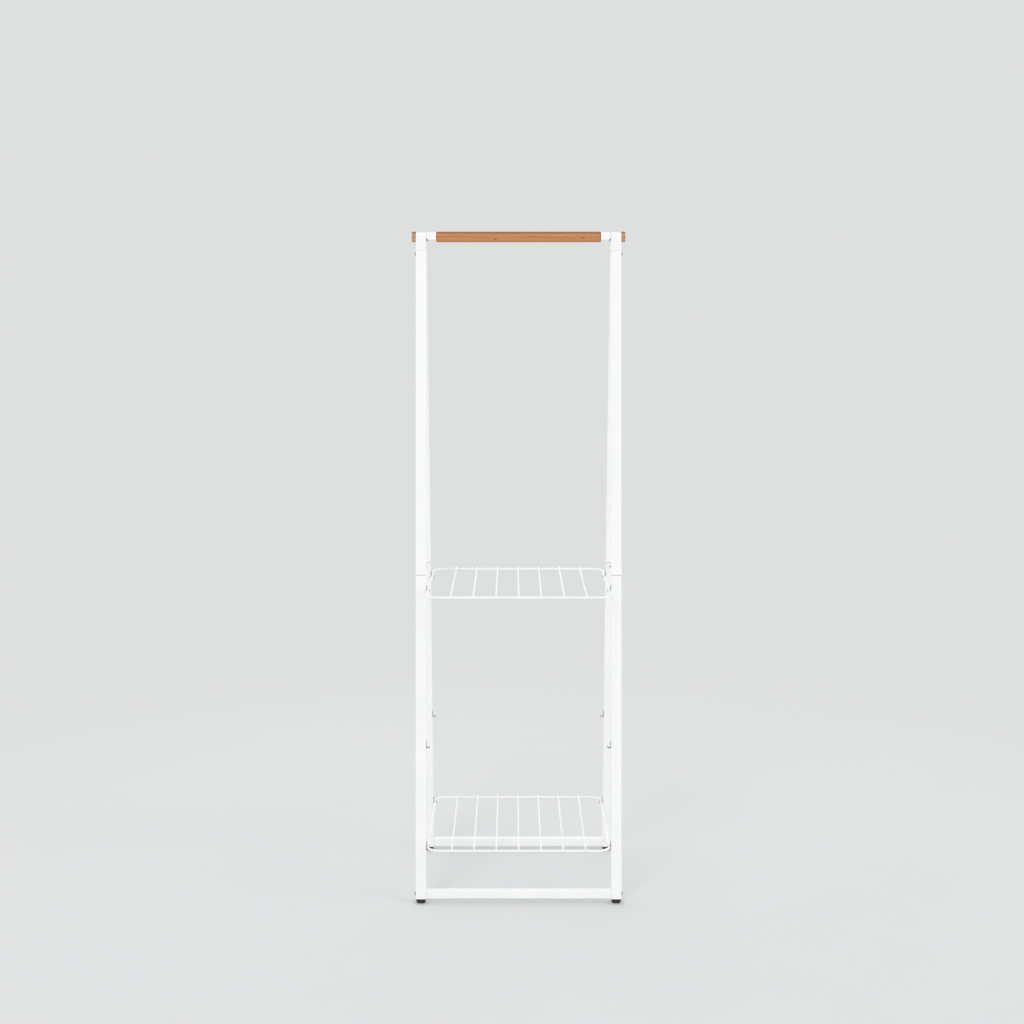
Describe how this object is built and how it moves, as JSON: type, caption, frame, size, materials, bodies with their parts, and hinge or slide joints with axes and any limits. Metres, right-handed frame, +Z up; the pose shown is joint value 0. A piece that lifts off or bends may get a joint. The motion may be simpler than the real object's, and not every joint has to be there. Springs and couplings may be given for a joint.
{
  "type": "clothes rack",
  "caption": "Free-standing folding clothes rack: two leaning tube frames hinged on a round bamboo hanging bar, with wire shelves that lift out of hooks on the legs.",
  "frame": {"origin": "on the floor under the middle of the hanging bar", "axes": "+X along the bar to the right seen from the front, -Y to the front, +Z up"},
  "size_m": [0.609, 0.532, 1.9],
  "materials": {
    "white_steel": "satin white powder coat on steel tube and wire",
    "white_plastic": "fine satin moulded plastic",
    "bamboo": "laminated caramel bamboo, clear satin lacquer",
    "rubber": "matt black rubber",
    "zinc_steel": "bright zinc plate",
    "hook_steel": "bent steel strip, grey",
    "core_steel": "plain drawn steel tube",
    "dark_plastic": "moulded nylon"
  },
  "bodies": {
    "front_frame": {"bamboo_bar": "bamboo", "bar_core": "core_steel", "front_cross_bar": "white_steel", "front_cross_bar_plugs": "dark_plastic", "front_joint_screws": "zinc_steel", "front_left_foot": "rubber", "front_left_joint_sleeve": "core_steel", "front_left_lower_tube": "white_steel", "front_left_top_fitting": "white_plastic", "front_left_upper_tube": "white_steel", "front_lower_bolts": "zinc_steel", "front_lower_hooks": "hook_steel", "front_middle_hooks": "hook_steel", "front_right_foot": "rubber", "front_right_joint_sleeve": "core_steel", "front_right_lower_tube": "white_steel", "front_right_top_fitting": "white_plastic", "front_right_upper_tube": "white_steel", "front_top_bolts": "zinc_steel", "front_upper_hooks": "hook_steel", "left_end_cap": "bamboo", "right_end_cap": "bamboo"},
    "rear_frame": {"rear_cross_bar": "white_steel", "rear_cross_bar_plugs": "dark_plastic", "rear_joint_screws": "zinc_steel", "rear_left_foot": "rubber", "rear_left_joint_sleeve": "core_steel", "rear_left_lower_tube": "white_steel", "rear_left_top_fitting": "white_plastic", "rear_left_upper_tube": "white_steel", "rear_lower_bolts": "zinc_steel", "rear_lower_hooks": "hook_steel", "rear_middle_hooks": "hook_steel", "rear_right_foot": "rubber", "rear_right_joint_sleeve": "core_steel", "rear_right_lower_tube": "white_steel", "rear_right_top_fitting": "white_plastic", "rear_right_upper_tube": "white_steel", "rear_top_bolts": "zinc_steel", "rear_upper_hooks": "hook_steel"},
    "lower_shelf": {"lower_shelf_rail": "white_steel", "lower_shelf_wires": "white_steel"},
    "upper_shelf": {"upper_shelf_rail": "white_steel", "upper_shelf_wires": "white_steel"}
  },
  "joints": [
    {"name": "rear_frame_fold", "type": "hinge", "parent": "front_frame", "child": "rear_frame", "pos_m": [0, 0, 1.885], "axis": [-1, 0, 0], "range_deg": [0, 12.8]},
    {"name": "lower_shelf_lift", "type": "slide", "parent": "front_frame", "child": "lower_shelf", "axis": [0, 0, 1], "range_m": [0, 0.06]},
    {"name": "upper_shelf_lift", "type": "slide", "parent": "front_frame", "child": "upper_shelf", "axis": [0, 0, 1], "range_m": [0, 0.06]}
  ]
}
